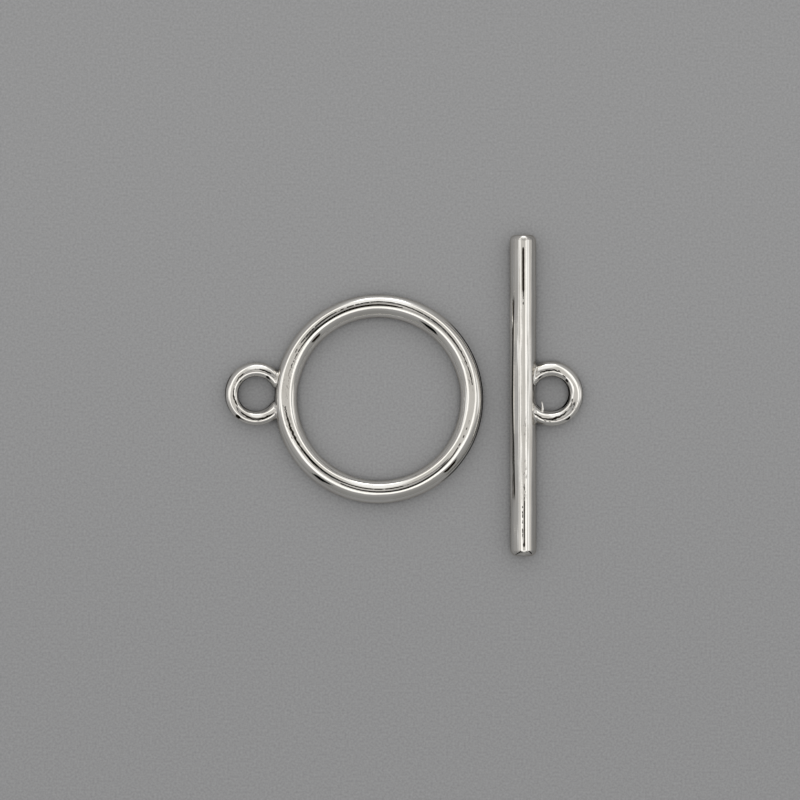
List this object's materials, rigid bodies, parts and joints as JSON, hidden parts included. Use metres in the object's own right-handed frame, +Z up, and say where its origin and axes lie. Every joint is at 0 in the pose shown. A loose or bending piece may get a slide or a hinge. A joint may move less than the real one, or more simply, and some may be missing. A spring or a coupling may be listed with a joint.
{
  "type": "toggle clasp",
  "caption": "Toggle clasp in bright silver-plated cast metal: a round-wire ring and a round bar with rounded ends, each with a small round eye for a jump ring.",
  "frame": {"origin": "centre of the two pieces' common bounding box, on the surface that they lie on", "axes": "+X from the ring's eye towards the bar's eye, +Y along the bar, +Z up"},
  "size_m": [0.0274, 0.0246, 0.002],
  "materials": {
    "silver_plate": "bright, slightly warm silver plating on cast metal, mirror gloss with fine casting waviness"
  },
  "bodies": {
    "root": {"toggle_ring": "silver_plate", "toggle_bar": "silver_plate"}
  },
  "joints": []
}
